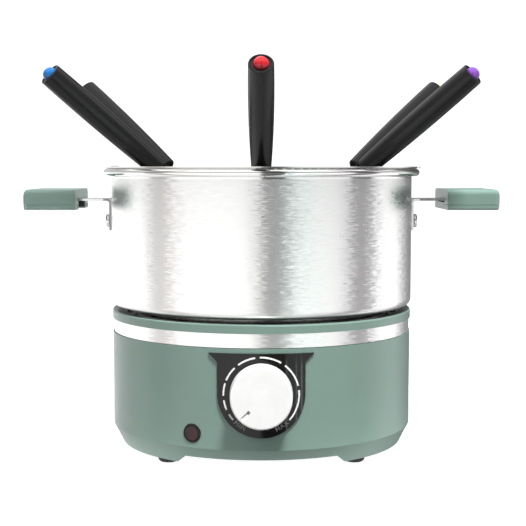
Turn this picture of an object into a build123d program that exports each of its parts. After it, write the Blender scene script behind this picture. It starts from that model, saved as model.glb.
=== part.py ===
from build123d import *

import os
from math import asin, cos, degrees, radians, sin

# Electric fondue set: a heated base with a control knob, a lift-off steel pot with two side
# grips, a fork ring that lies on the pot's rim and six forks that lean in the ring's notches.
# Millimetres, +Z up. The origin is on the pot's axis at the bottom of the feet; -Y is the front.

# ---------------------------------------------------------------- driving dimensions: base
FOOT_TALL = 8.6
FOOT_R = 6.0
FOOT_RING_R = 74.6
SKIRT_Z = 3.9
SKIRT_R = 84.0
CHAMFER_Z = 14.3
BODY_R_LOW = 89.35
BODY_R_TOP = 89.5
BODY_TOP_Z = 69.7
BODY_INNER_R = 86.6
SKIRT_INNER_R = 81.0
NOTCH_TOP_Z = 8.4
NOTCH_HALF_BOTTOM = 46.3
NOTCH_HALF_TOP = 41.8
NECK_R = 88.3
SHELF_Z = 77.8
SHELF_THICK = 2.8
SHELF_INNER_R = 79.6
BAND_R = 88.9
BAND_GAP = 0.4
COLLAR_R = 89.7
COLLAR_EDGE_Z = 82.8
COLLAR_INNER_R = 82.2
COLLAR_INNER_Z = 82.4
COLLAR_EDGE_SOFT = 0.9
TRAY_SHEET = 1.0
TRAY_RIM_Z = 81.2
COVER_R = 80.6
COVER_THICK = 1.8
BOSS_RING_R = 74.5
BOSS_ANGLES = (20, 160, 200, 340)
BOSS_R = 4.0
BOSS_TOP_Z = 62.0

# ---------------------------------------------------------------- driving dimensions: heating
PLATE_R = 75.0
PLATE_Z = 74.6
PLATE_TOP_Z = 80.6
ELEMENT_RING_R = 52.0
ELEMENT_R = 3.3
ELEMENT_Z = 71.5
ELEMENT_GAP_DEG = 30.0
SHIELD_Z = 66.0
SHIELD_SHEET = 0.8
SHIELD_R = 79.0
POST_RING_R = 66.0
POST_ANGLES = (30, 150, 270)

# ---------------------------------------------------------------- driving dimensions: controls
KNOB_Z = 45.3
KNOB_BACK_Y = -91.6
KNOB_DEPTH = 12.5
KNOB_R_BACK = 17.0
KNOB_R_FRONT = 16.5
KNOB_FACE_R = 15.7
KNOB_REST_DEG = 43.0
POINTER_INNER_R = 9.0
POINTER_OUTER_R = 15.2
POINTER_HALF = 0.9
POINTER_DEEP = 1.5
PANEL_R = 90.7
PANEL_SEAT_R = 88.3
PANEL_HALF = 23.8
PANEL_TOP_Z = 67.2
PANEL_EAR_HALF = 28.5
PANEL_EAR_Z = 62.5
SPINDLE_R = 3.0
SPINDLE_CLEARANCE = 0.05
LAMP_DEG = -115.0
LAMP_Z = 22.3
LAMP_BEZEL_R = 5.2
LAMP_BARREL_R = 4.75
LAMP_LENS_R = 4.5
GLAND_Z = 22.0
GLAND_BORE_R = 3.5

# ---------------------------------------------------------------- driving dimensions: pot
POT_R = 90.0
POT_SHEET = 0.9
POT_Z = 84.9
POT_CORNER_R = 4.6
RIM_TOP_Z = 166.05
BEAD_R = 2.25
BEAD_RING_R = 92.4
DISC_R = 76.0
STRAP_Z = 147.0
STRAP_THICK = 1.3
STRAP_HALF = 12.0
STRAP_END_X = 130.0
LEG_LOW_Z = 129.4
RIVET_Z = 135.0
RIVET_Y = 6.5
RIVET_R = 2.0
RIVET_HEAD_R = 4.0
GRIP_X = 108.6
GRIP_END_X = 139.4
GRIP_HALF = 26.0
GRIP_LOW_Z = 142.0
GRIP_SEAM_Z = 145.0
GRIP_TOP_Z = 154.0
GRIP_TOP_SOFT = 3.2
GRIP_LOW_SOFT = 1.0
GRIP_CORNER_R = 3.0
GRIP_END_BOW_R = 20.0
GRIP_SCREW_X = (116.0, 126.0)

# ---------------------------------------------------------------- driving dimensions: ring, forks
RING_Z = 166.1
RING_SHEET = 1.2
RING_R = 93.4
RING_INNER_R = 63.0
NOTCH_R = 6.1
FORK_DEG = (-90.0, -30.0, 30.65, 90.0, 149.35, 210.0)
FORK_LEAN_DEG = 38.4
FORK_FOOT_R = 69.0
FORK_TIP_R = 9.0
HANDLE_LONG = 82.0
HANDLE_R_LOW = 5.55
HANDLE_R_MID = 6.75
HANDLE_R_TOP = 6.5
SHAFT_R = 1.2
SHAFT_IN_HANDLE = 32.0
HEAD_LONG = 20.0
HEAD_HALF = 3.2
BEAD_DOME_R = 4.0
BEAD_DOME_TALL = 3.3

SHAFT_BELOW = (FORK_FOOT_R - FORK_TIP_R) / cos(radians(FORK_LEAN_DEG))
RING_MID_Z = RING_Z + RING_SHEET / 2
LIFT = (Align.CENTER, Align.CENTER, Align.MIN)


# ---------------------------------------------------------------- helpers
def spin(*edges):
    """Solid of revolution about Z from a closed outline drawn as (radius, height)."""
    return revolve(Plane.XZ * make_face(list(edges)), Axis.Z)


def spin_points(points):
    """Solid of revolution about Z from a straight-sided outline."""
    return spin(Polyline(*points, close=True))


def post(radius, low, high, x=0.0, y=0.0):
    """Upright cylinder between two heights."""
    return Pos(x, y, low) * Cylinder(radius, high - low, align=LIFT)


def block(x0, x1, y0, y1, z0, z1):
    """Box between two corners."""
    size = Box(x1 - x0, y1 - y0, z1 - z0)
    return Pos((x0 + x1) / 2, (y0 + y1) / 2, (z0 + z1) / 2) * size


def polar(radius, angle):
    """Point on a circle about the pot's axis."""
    return radius * cos(radians(angle)), radius * sin(radians(angle))


def around(shape_at, ring_r, angles):
    """One solid per angle, as one group of separate solids."""
    group = Part()
    for angle in angles:
        group += shape_at(*polar(ring_r, angle))
    return group


def tube(radius, points, bend):
    """Round wire along straight runs joined by tangent arcs."""
    path = FilletPolyline(*points, radius=bend)
    section = Plane(origin=path @ 0, z_dir=path % 0) * Circle(radius)
    return sweep(section, path=path)


def front_plane(y, z=0.0):
    """Plane facing the front: local x is +X, local y is +Z, local z points to -Y."""
    return Plane(origin=(0, y, z), x_dir=(1, 0, 0), z_dir=(0, -1, 0))


def side_plane(angle, radius, z):
    """Plane on the housing's side, its normal pointing outwards at that angle."""
    x, y = polar(radius, angle)
    outward = (cos(radians(angle)), sin(radians(angle)), 0)
    return Plane(origin=(x, y, z), x_dir=(-outward[1], outward[0], 0), z_dir=outward)


# ---------------------------------------------------------------- base: casings
def panel_outline(grow=0.0):
    """Front view of the control panel: a U with two small ears at its top corners."""
    half = PANEL_HALF + grow
    top = PANEL_TOP_Z + grow
    ear = PANEL_EAR_HALF + 2 * grow
    return make_face([
        Line((-ear, top), (ear, top)),
        Line((ear, top), (half, PANEL_EAR_Z)),
        Line((half, PANEL_EAR_Z), (half, KNOB_Z)),
        ThreePointArc((half, KNOB_Z), (0, KNOB_Z - half), (-half, KNOB_Z)),
        Line((-half, KNOB_Z), (-half, PANEL_EAR_Z)),
        Line((-half, PANEL_EAR_Z), (-ear, top)),
    ])


def make_base_housing():
    chamfer_slope = (CHAMFER_Z - SKIRT_Z) / (BODY_R_LOW - SKIRT_R)
    inner_chamfer_z = SKIRT_Z + (BODY_INNER_R - SKIRT_INNER_R) * chamfer_slope
    shelf_low = SHELF_Z - SHELF_THICK
    shell = spin_points([
        (SKIRT_R, SKIRT_Z),
        (BODY_R_LOW, CHAMFER_Z),
        (BODY_R_TOP, BODY_TOP_Z),
        (NECK_R, BODY_TOP_Z),
        (NECK_R, SHELF_Z),
        (SHELF_INNER_R, SHELF_Z),
        (SHELF_INNER_R, shelf_low),
        (BODY_INNER_R, shelf_low),
        (BODY_INNER_R, inner_chamfer_z),
        (SKIRT_INNER_R, SKIRT_Z),
    ])
    shell += housing_bosses()
    notch = make_face(Polyline(
        (-NOTCH_HALF_BOTTOM, SKIRT_Z - 1e-3),
        (NOTCH_HALF_BOTTOM, SKIRT_Z - 1e-3),
        (NOTCH_HALF_TOP, NOTCH_TOP_Z),
        (-NOTCH_HALF_TOP, NOTCH_TOP_Z),
        close=True,
    ))
    for side in (-1, 1):
        shell -= extrude(front_plane(side * 77.5) * notch, amount=17.5, both=True)
    pocket = extrude(front_plane(-75) * panel_outline(grow=0.1), amount=25)
    shell -= pocket - post(PANEL_SEAT_R - 0.05, 0, 100)
    shell -= front_plane(-80, KNOB_Z) * Cylinder(5.0, 15, align=LIFT)
    shell -= side_plane(LAMP_DEG, 80, LAMP_Z) * Cylinder(LAMP_BARREL_R + 0.1, 15, align=LIFT)
    shell -= lamp_seat() * Cylinder(LAMP_BEZEL_R + 0.1, 5, align=LIFT)
    shell -= side_plane(90, 80, GLAND_Z) * Cylinder(6.0, 15, align=LIFT)
    shell -= side_plane(90, 88.6, GLAND_Z) * Cylinder(8.3, 5, align=LIFT)
    shell -= make_panel_screws(shaft_only=True)
    shell -= make_shield_screws(shaft_only=True)
    return shell


def housing_bosses():
    """Four screw posts for the bottom cover, each tied to the wall by a rib."""
    low = FOOT_TALL + COVER_THICK
    group = Part()
    for angle in BOSS_ANGLES:
        x, y = polar(BOSS_RING_R, angle)
        rib = block(BOSS_RING_R, BODY_INNER_R + 0.5, -1.2, 1.2, low + 6, BOSS_TOP_Z)
        boss = post(BOSS_R, low, BOSS_TOP_Z, x, y) + Rot(0, 0, angle) * rib
        group += boss - post(1.5, low, low + 12, x, y)
    return group


def make_bottom_cover():
    low = FOOT_TALL
    high = FOOT_TALL + COVER_THICK
    cover = post(COVER_R, low, high)
    cover -= around(lambda x, y: post(2.5, low, high, x, y), FOOT_RING_R, (45, 135, 225, 315))
    cover -= around(lambda x, y: post(1.6, low, high, x, y), BOSS_RING_R, BOSS_ANGLES)
    for row in range(-3, 4):
        slot = Pos(row * 9.0, 0, low) * extrude(SlotOverall(40, 3.2, rotation=90), amount=COVER_THICK)
        cover -= slot
    return cover


def make_cover_screws():
    head_z = FOOT_TALL - 1.9

    def screw(x, y):
        head = post(3.2, head_z, FOOT_TALL, x, y)
        head = chamfer(head.faces().sort_by(Axis.Z)[0].edges(), 0.5)
        shaft = post(1.5, FOOT_TALL, FOOT_TALL + 11, x, y)
        drive = block(x - 2.0, x + 2.0, y - 0.4, y + 0.4, head_z, head_z + 0.8)
        return head + shaft - drive

    return around(screw, BOSS_RING_R, BOSS_ANGLES)


def make_foot(angle):
    """Push-in rubber foot: a soft round bumper, a stem and a bulb that holds it in the cover."""
    x, y = polar(FOOT_RING_R, angle)
    bumper = post(FOOT_R, 0, FOOT_TALL)
    bumper = fillet(bumper.faces().sort_by(Axis.Z)[0].edges(), 2.2)
    stem = post(2.45, FOOT_TALL, FOOT_TALL + COVER_THICK)
    bulb_z = FOOT_TALL + COVER_THICK
    bulb = Pos(0, 0, bulb_z) * Cone(3.6, 2.0, 2.6, align=LIFT)
    return Pos(x, y, 0) * (bumper + stem + bulb)


def make_trim_band():
    return spin_points([
        (NECK_R + 0.05, BODY_TOP_Z + BAND_GAP),
        (BAND_R, BODY_TOP_Z + BAND_GAP),
        (BAND_R, SHELF_Z - 0.1),
        (NECK_R + 0.05, SHELF_Z - 0.1),
    ])


def make_top_collar():
    """Green rim of the well: a shallow channel section with a flat ledge that dips inwards."""
    soft = COLLAR_EDGE_SOFT
    inner_wall = 1.6
    outer_wall = 2.2
    under = COLLAR_INNER_Z - 1.6
    edge = (COLLAR_R - soft, COLLAR_EDGE_Z)
    shoulder = (COLLAR_R, COLLAR_EDGE_Z - soft)
    corner = (COLLAR_R - 0.3 * soft, COLLAR_EDGE_Z - 0.3 * soft)
    return spin(
        Line((COLLAR_R - outer_wall, SHELF_Z), (COLLAR_R, SHELF_Z)),
        Line((COLLAR_R, SHELF_Z), shoulder),
        ThreePointArc(shoulder, corner, edge),
        Line(edge, (COLLAR_INNER_R + 0.6, COLLAR_INNER_Z)),
        Line((COLLAR_INNER_R + 0.6, COLLAR_INNER_Z), (COLLAR_INNER_R, COLLAR_INNER_Z - 0.5)),
        Line((COLLAR_INNER_R, COLLAR_INNER_Z - 0.5), (COLLAR_INNER_R, SHELF_Z)),
        Line((COLLAR_INNER_R, SHELF_Z), (COLLAR_INNER_R + inner_wall, SHELF_Z)),
        Line((COLLAR_INNER_R + inner_wall, SHELF_Z), (COLLAR_INNER_R + inner_wall, under)),
        Line((COLLAR_INNER_R + inner_wall, under), (COLLAR_R - outer_wall, under)),
        Line((COLLAR_R - outer_wall, under), (COLLAR_R - outer_wall, SHELF_Z)),
    )


def make_drip_tray():
    """Black tray between the heating plate and the collar: a sleeve, a floor and a rim."""
    rim = COLLAR_INNER_R - 0.1
    sleeve = PLATE_R + 0.8
    low = SHELF_Z - 1.3
    return spin_points([
        (sleeve, low),
        (sleeve + TRAY_SHEET, low),
        (sleeve + TRAY_SHEET, SHELF_Z),
        (rim, SHELF_Z),
        (rim, TRAY_RIM_Z),
        (rim - TRAY_SHEET, TRAY_RIM_Z),
        (rim - TRAY_SHEET, SHELF_Z + TRAY_SHEET),
        (sleeve + TRAY_SHEET, SHELF_Z + TRAY_SHEET),
        (sleeve + TRAY_SHEET, PLATE_TOP_Z - 0.4),
        (sleeve, PLATE_TOP_Z - 0.4),
    ])


# ---------------------------------------------------------------- base: heating
def element_ends():
    """Where the element's two cold ends turn down, at the rear."""
    half = ELEMENT_GAP_DEG / 2
    return [polar(ELEMENT_RING_R, 90 - half), polar(ELEMENT_RING_R, 90 + half)]


def make_heating_element():
    """Tubular ring element, open at the rear, with both ends turned down."""
    section = Plane.XZ * Pos(ELEMENT_RING_R, ELEMENT_Z) * Circle(ELEMENT_R)
    ring = revolve(section, Axis.Z, 360 - ELEMENT_GAP_DEG)
    element = Rot(0, 0, 90 + ELEMENT_GAP_DEG / 2) * ring
    for x, y in element_ends():
        element += Pos(x, y, ELEMENT_Z) * Sphere(ELEMENT_R)
        element += post(ELEMENT_R, 60, ELEMENT_Z, x, y)
    return element


def make_heating_plate(element):
    plate = post(PLATE_R, PLATE_Z, PLATE_TOP_Z)
    plate = chamfer(plate.faces().sort_by(Axis.Z)[-1].edges(), 0.6)
    rib_z = ELEMENT_Z - 1.5
    rib = post(ELEMENT_RING_R + 5, rib_z, PLATE_Z) - post(ELEMENT_RING_R - 5, rib_z, PLATE_Z)
    plate = plate + rib - element
    for angle in POST_ANGLES:
        x, y = polar(POST_RING_R, angle)
        plate -= post(2.0, PLATE_Z, PLATE_Z + 4, x, y)
    return plate


def make_heater_terminals():
    """Ceramic collars and connection pins below the element's ends."""
    group = Part()
    for x, y in element_ends():
        group += post(2.6, 57, 60, x, y) + post(1.5, 52, 57, x, y)
    return group


def make_heat_shield():
    outer = BODY_INNER_R - 0.4
    top = SHELF_Z - SHELF_THICK
    shield = spin_points([
        (0, SHIELD_Z),
        (SHIELD_R + SHIELD_SHEET, SHIELD_Z),
        (SHIELD_R + SHIELD_SHEET, top - SHIELD_SHEET),
        (outer, top - SHIELD_SHEET),
        (outer, top),
        (SHIELD_R, top),
        (SHIELD_R, SHIELD_Z + SHIELD_SHEET),
        (0, SHIELD_Z + SHIELD_SHEET),
    ])
    for x, y in element_ends():
        shield -= post(5.0, SHIELD_Z - 1, SHIELD_Z + 2, x, y)
    shield -= post(2.2, SHIELD_Z - 1, SHIELD_Z + 2, 6, -42)
    shield -= around(lambda x, y: post(2.1, SHIELD_Z - 1, SHIELD_Z + 2, x, y), POST_RING_R, POST_ANGLES)
    shield -= make_shield_screws(shaft_only=True)
    for angle in range(0, 360, 30):
        shield -= around(lambda x, y: post(3.0, SHIELD_Z - 1, SHIELD_Z + 2, x, y), 25, (angle,))
    return shield


def make_shield_screws(shaft_only=False):
    """Four screws through the shield's flange into the housing's shelf."""
    head_top = SHELF_Z - SHELF_THICK - SHIELD_SHEET

    def screw(x, y):
        shaft = post(1.4, head_top, SHELF_Z - 0.4, x, y)
        return shaft if shaft_only else shaft + post(2.6, head_top - 1.6, head_top, x, y)

    return around(screw, 83.4, (45, 135, 225, 315))


def make_plate_posts():
    low = SHIELD_Z + SHIELD_SHEET

    def sleeve(x, y):
        return post(4.0, low, PLATE_Z, x, y) - post(2.05, low, PLATE_Z, x, y)

    return around(sleeve, POST_RING_R, POST_ANGLES)


def make_plate_screws():
    def screw(x, y):
        return post(3.5, SHIELD_Z - 2, SHIELD_Z, x, y) + post(2.0, SHIELD_Z, PLATE_Z + 4, x, y)

    return around(screw, POST_RING_R, POST_ANGLES)


# ---------------------------------------------------------------- base: controls and wiring
def make_control_panel():
    body = extrude(front_plane(-75) * panel_outline(), amount=25)
    shell = post(PANEL_R, 0, 100) - post(PANEL_SEAT_R, 0, 100)
    panel = body & shell
    panel -= front_plane(-80, KNOB_Z) * Cylinder(5.0, 15, align=LIFT)
    panel -= make_panel_screws(shaft_only=True)
    return panel


def make_panel_screws(shaft_only=False):
    """Two screws that hold the thermostat's bracket and the panel to the housing wall."""
    group = Part()
    for x in (-14, 14):
        group += front_plane(-82.5, KNOB_Z) * Pos(x, 0, 0) * Cylinder(1.5, 6.0, align=LIFT)
        if not shaft_only:
            group += front_plane(-80.6, KNOB_Z) * Pos(x, 0, 0) * Cylinder(2.8, 1.9, align=LIFT)
    return group


def make_thermostat_bracket():
    plate = block(-18, 18, -84.0, -82.5, KNOB_Z - 11, KNOB_Z + 11)
    plate = fillet(plate.edges().filter_by(Axis.Y), 3)
    plate -= front_plane(-80, KNOB_Z) * Cylinder(4.7, 6, align=LIFT)
    plate -= make_panel_screws(shaft_only=True)
    return plate


def make_thermostat_body():
    body = block(-10, 10, -82.5, -62, KNOB_Z - 13, KNOB_Z + 13)
    body = fillet(body.edges().filter_by(Axis.Y), 1.5)
    body += front_plane(-82.5, KNOB_Z) * Cylinder(4.5, 8.7, align=LIFT)
    body -= front_plane(-67.8, KNOB_Z) * Cylinder(SPINDLE_R + SPINDLE_CLEARANCE, 30, align=LIFT)
    for x in (-5, 5):
        body += block(x - 0.4, x + 0.4, -62, -55, KNOB_Z - 3, KNOB_Z + 3)
    return body


def spindle_section(start, end):
    """Stretch of the spindle, counted from the knob's back plane towards the front."""
    stretch = Cylinder(SPINDLE_R, end - start, align=LIFT)
    return front_plane(KNOB_BACK_Y, KNOB_Z) * Pos(0, 0, start) * stretch


def spindle_flat(start, end):
    """The slice that the D-flat takes off the spindle."""
    return front_plane(KNOB_BACK_Y, KNOB_Z) * Pos(0, 3.5, start) * Box(8, 3, end - start, align=LIFT)


def make_thermostat_spindle():
    return spindle_section(-23.6, 8.9) - spindle_flat(1.4, 8.9)


def make_control_knob():
    profile = spin(
        Line((0, 9.2), (SPINDLE_R, 9.2)),
        Line((SPINDLE_R, 9.2), (SPINDLE_R, 1.4)),
        Line((SPINDLE_R, 1.4), (5.5, 1.4)),
        Line((5.5, 1.4), (5.5, 10.7)),
        Line((5.5, 10.7), (15.2, 10.7)),
        Line((15.2, 10.7), (15.6, 0)),
        Line((15.6, 0), (KNOB_R_BACK, 0)),
        Line((KNOB_R_BACK, 0), (KNOB_R_FRONT, 11.7)),
        ThreePointArc((KNOB_R_FRONT, 11.7), (KNOB_R_FRONT - 0.24, 12.26), (KNOB_FACE_R, KNOB_DEPTH)),
        Line((KNOB_FACE_R, KNOB_DEPTH), (0, KNOB_DEPTH)),
        Line((0, KNOB_DEPTH), (0, 9.2)),
    )
    wedge = make_face(Polyline(
        (-POINTER_OUTER_R, KNOB_DEPTH + 0.1),
        (-POINTER_INNER_R, KNOB_DEPTH + 0.1),
        (-POINTER_INNER_R, KNOB_DEPTH - POINTER_DEEP),
        (-POINTER_OUTER_R, KNOB_DEPTH - 0.15),
        close=True,
    ))
    groove = extrude(Plane.YZ * wedge, amount=POINTER_HALF, both=True)
    knob = front_plane(KNOB_BACK_Y, KNOB_Z) * (profile - Rot(0, 0, -KNOB_REST_DEG) * groove)
    key = spindle_section(1.4, 9.0) & spindle_flat(1.4, 9.0)
    return knob + key


def make_sensor_bulb():
    """The thermostat's sensing bulb under the plate, with its thin capillary tube."""
    bulb_z = PLATE_Z - 2.3
    bulb = Pos(6, -16, bulb_z) * Rot(90, 0, 0) * Cylinder(2.25, 40)
    capillary = tube(0.8, [(6, -62, 53), (6, -42, 53), (6, -42, bulb_z), (6, -36, bulb_z)], 3)
    return bulb + capillary


def lamp_seat():
    """Plane that the indicator's bezel sits on."""
    return side_plane(LAMP_DEG, BODY_R_LOW - 0.45, LAMP_Z)


def make_indicator_holder():
    """Thin black bezel with a barrel through the wall and a recess that the lens sits in."""
    bezel = Cylinder(LAMP_BEZEL_R, 1.0, align=LIFT)
    bezel = fillet(bezel.faces().sort_by(Axis.Z)[-1].edges(), 0.3)
    barrel = Pos(0, 0, -9) * Cylinder(LAMP_BARREL_R, 9, align=LIFT)
    bore = Pos(0, 0, -9) * Cylinder(4.0, 11, align=LIFT)
    seat = Pos(0, 0, -0.8) * Cylinder(LAMP_LENS_R + 0.05, 3, align=LIFT)
    return lamp_seat() * (bezel + barrel - bore - seat)


def make_indicator_lens():
    window = Pos(0, 0, -0.75) * Cylinder(LAMP_LENS_R, 1.85, align=LIFT)
    window = fillet(window.faces().sort_by(Axis.Z)[-1].edges(), 0.5)
    return lamp_seat() * (window + Pos(0, 0, -2) * Cylinder(3.95, 1.3, align=LIFT))


def make_indicator_lamp():
    return lamp_seat() * (Pos(0, 0, -11.5) * Cylinder(2.2, 7, align=LIFT) + Pos(0, 0, -4.5) * Sphere(2.2))


def make_terminal_block():
    low = FOOT_TALL + COVER_THICK
    body = block(-13, 13, 52, 64, low, low + 9)
    body -= [Pos(x, 58, low + 4.5) * Rot(90, 0, 0) * Cylinder(2.0, 14) for x in (-8, 0, 8)]
    return chamfer(body.edges().filter_by(Axis.Z), 1.0)


def make_thermal_fuse():
    return Pos(30, 0, SHIELD_Z - 2.25) * Rot(90, 0, 0) * Cylinder(2.2, 16)


def make_lead_wires():
    """Insulated leads: supply to thermostat, thermostat to fuse, fuse to element, element to supply."""
    (right_x, right_y), (left_x, left_y) = element_ends()
    fuse_z = SHIELD_Z - 2.25
    block_top = FOOT_TALL + COVER_THICK + 9
    lamp = side_plane(LAMP_DEG, BODY_R_LOW - 13.2, LAMP_Z).origin
    supply = [(-5, -54.9, KNOB_Z), (-5, 58, KNOB_Z), (-5, 58, block_top + 0.1)]
    to_fuse = [
        (5, -54.9, KNOB_Z),
        (5, -32, KNOB_Z),
        (30, -32, KNOB_Z),
        (30, -32, fuse_z),
        (30, -8.1, fuse_z),
    ]
    to_element = [
        (30, 8.1, fuse_z),
        (30, 30, fuse_z),
        (30, 30, 40),
        (right_x, right_y, 40),
        (right_x, right_y, 51.9),
    ]
    back = [(left_x, left_y, 51.9), (left_x, left_y, 31), (5, 58, 31), (5, 58, block_top + 0.1)]
    to_lamp = [
        (lamp.X, lamp.Y, LAMP_Z),
        (-22, -47, LAMP_Z),
        (-22, 58, LAMP_Z),
        (-22, 58, 15),
        (-13.1, 58, 15),
    ]
    group = tube(1.0, supply, 12)
    for route in (to_fuse, to_element, back):
        group += tube(1.0, route, 6)
    group += tube(0.8, to_lamp, 4)
    return group


def make_cord_gland():
    """Round bushing that the mains cord passes through."""
    seat = side_plane(90, 88.6, GLAND_Z)
    flange = Cylinder(8.2, 3.4, align=LIFT)
    flange = fillet(flange.faces().sort_by(Axis.Z)[-1].edges(), 1.0)
    barrel = Pos(0, 0, -6) * Cylinder(5.95, 6, align=LIFT)
    barrel += Pos(0, 0, -6) * Cylinder(7.0, 3.0, align=LIFT)
    return seat * (flange + barrel - Pos(0, 0, -7) * Cylinder(GLAND_BORE_R, 12, align=LIFT))


# ---------------------------------------------------------------- pot
def make_pot_shell():
    """Drawn steel pot, one sheet thick, with its rim rolled outwards into a hollow bead."""
    inner_r = POT_R - POT_SHEET
    floor_z = POT_Z + POT_SHEET
    inner_corner = POT_CORNER_R - POT_SHEET
    bead_z = RIM_TOP_Z - BEAD_R
    hollow_r = BEAD_R - POT_SHEET
    turn_r = 1.5
    turn = (POT_R + turn_r, RIM_TOP_Z - POT_SHEET - turn_r)
    corner = (POT_R - POT_CORNER_R, POT_Z + POT_CORNER_R)
    curl = 220
    bead = (BEAD_RING_R, bead_z)
    end_x, end_z = polar(1.0, 90 - curl)
    outer_end = (BEAD_RING_R + BEAD_R * end_x, bead_z + BEAD_R * end_z)
    inner_end = (BEAD_RING_R + hollow_r * end_x, bead_z + hollow_r * end_z)
    shell = spin(
        Line((0, POT_Z), (corner[0], POT_Z)),
        CenterArc(corner, POT_CORNER_R, -90, 90),
        Line((POT_R, corner[1]), (POT_R, turn[1])),
        CenterArc(turn, turn_r, 180, -90),
        Line((turn[0], turn[1] + turn_r), (BEAD_RING_R, bead_z + hollow_r)),
        CenterArc(bead, hollow_r, 90, -curl),
        Line(inner_end, outer_end),
        CenterArc(bead, BEAD_R, 90 - curl, curl),
        Line((BEAD_RING_R, RIM_TOP_Z), (turn[0], RIM_TOP_Z)),
        CenterArc(turn, turn_r + POT_SHEET, 90, 90),
        Line((inner_r, turn[1]), (inner_r, corner[1])),
        CenterArc(corner, inner_corner, 0, -90),
        Line((corner[0], floor_z), (0, floor_z)),
        Line((0, floor_z), (0, POT_Z)),
    )
    return shell - rivet_shanks()


def make_pot_base_disc():
    """Thick heat-spreading disc bonded under the pot, standing on the heating plate."""
    disc = post(DISC_R, PLATE_TOP_Z, POT_Z)
    return chamfer(disc.faces().sort_by(Axis.Z)[0].edges(), 1.2)


def rivet_disc(radius, start, long):
    """Round stretch of a rivet, lying along +X at the rivets' height."""
    return Pos(start, 0, RIVET_Z) * Rot(0, 90, 0) * Cylinder(radius, long, align=LIFT)


def at_rivets(shape):
    """Copies at the four rivets: two a side, square to the pot's wall."""
    group = Part()
    for side in (0, 180):
        for y in (-RIVET_Y, RIVET_Y):
            group += Rot(0, 0, side + degrees(asin(y / POT_R))) * shape
    return group


def rivet_shanks():
    return at_rivets(rivet_disc(RIVET_R, POT_R - 3.5, 6.2))


def make_handle_rivets():
    """Rivets through the brackets' legs and the pot's wall, domed outside and flat inside."""
    shank = rivet_disc(RIVET_R - 0.05, POT_R - 2.0, 4.2)
    head = rivet_disc(RIVET_HEAD_R, POT_R + STRAP_THICK + 0.15, 2.0)
    head = fillet(head.faces().sort_by(Axis.X)[-1].edges(), 1.4)
    tail = rivet_disc(3.2, POT_R - 2.35, 1.35)
    return at_rivets(shank + head + tail)


def make_bracket(side):
    """Steel strap: a leg riveted to the wall, a bend and a flat tongue into the grip."""
    inner = POT_R + 0.05
    outer = inner + STRAP_THICK
    bend = 1.6
    top = STRAP_Z + STRAP_THICK
    centre = (outer + bend, STRAP_Z - bend)
    leg = revolve(Plane.XZ * make_face([
        Line((inner, LEG_LOW_Z), (outer, LEG_LOW_Z)),
        Line((outer, LEG_LOW_Z), (outer, centre[1])),
        CenterArc(centre, bend, 180, -90),
        Line((centre[0], STRAP_Z), (centre[0] + 2, STRAP_Z)),
        Line((centre[0] + 2, STRAP_Z), (centre[0] + 2, top)),
        Line((centre[0] + 2, top), (centre[0], top)),
        CenterArc(centre, bend + STRAP_THICK, 90, 90),
        Line((inner, centre[1]), (inner, LEG_LOW_Z)),
    ]), Axis.Z, 2 * degrees(asin(STRAP_HALF / POT_R)))
    leg = Rot(0, 0, -degrees(asin(STRAP_HALF / POT_R))) * leg
    tongue = block(centre[0] + 0.5, STRAP_END_X, -STRAP_HALF, STRAP_HALF, STRAP_Z, top)
    strap = leg + tongue
    strap -= [post(1.6, STRAP_Z - 1, top + 1, x, 0) for x in GRIP_SCREW_X]
    return Rot(0, 0, side) * strap - rivet_shanks()


def grip_form():
    """Both halves of a side grip as one: soft long edges, a flat inner end and a bowed outer end."""
    form = block(GRIP_X, GRIP_END_X, -GRIP_HALF, GRIP_HALF, GRIP_LOW_Z, GRIP_TOP_Z)
    form = fillet(form.edges().filter_by(Axis.Z).sort_by(Axis.X)[-2:], GRIP_CORNER_R)
    long_edges = form.edges().filter_by(Axis.X).sort_by(Axis.Z)
    form = fillet(long_edges[-2:], GRIP_TOP_SOFT)
    form = fillet(form.edges().filter_by(Axis.X).sort_by(Axis.Z)[:2], GRIP_LOW_SOFT)
    bow = Rot(90, 0, 0) * Cylinder(GRIP_END_BOW_R, 2.2 * GRIP_HALF)
    return form & Pos(GRIP_END_X - GRIP_END_BOW_R, 0, (GRIP_LOW_Z + GRIP_TOP_Z) / 2) * bow


def make_grip(side):
    """Upper half of the side grip, with the channel that the strap's tongue lies in."""
    half = GRIP_HALF
    body = grip_form() & block(GRIP_X, GRIP_END_X, -half, half, GRIP_SEAM_Z, GRIP_TOP_Z)
    channel_top = STRAP_Z + STRAP_THICK + 0.05
    body -= block(GRIP_X - 1, STRAP_END_X + 0.5, -14, 14, GRIP_SEAM_Z - 1, channel_top)
    body -= [post(1.5, channel_top - 1, GRIP_TOP_Z - 2.2, x, 0) for x in GRIP_SCREW_X]
    return Rot(0, 0, side) * body


def make_grip_cover(side, open_pocket):
    """Lower half of the side grip, with a tongue under the strap."""
    half = GRIP_HALF
    body = grip_form() & block(GRIP_X, GRIP_END_X, -half, half, GRIP_LOW_Z, GRIP_SEAM_Z - 0.2)
    tongue_top = STRAP_Z - 0.05
    body += block(GRIP_X, STRAP_END_X + 0.3, -13.8, 13.8, GRIP_SEAM_Z - 1, tongue_top)
    body -= block(GRIP_X - 1, GRIP_X + 5, -12.5, 12.5, tongue_top - 0.9, tongue_top + 1)
    if open_pocket:
        body -= block(GRIP_X - 1, GRIP_X + 5, -12.5, 12.5, GRIP_LOW_Z - 1, STRAP_Z)
    for x in GRIP_SCREW_X:
        body -= post(1.6, GRIP_LOW_Z, STRAP_Z, x, 0)
        body -= post(2.9, GRIP_LOW_Z - 1, GRIP_LOW_Z + 1.6, x, 0)
    return Rot(0, 0, side) * body


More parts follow.
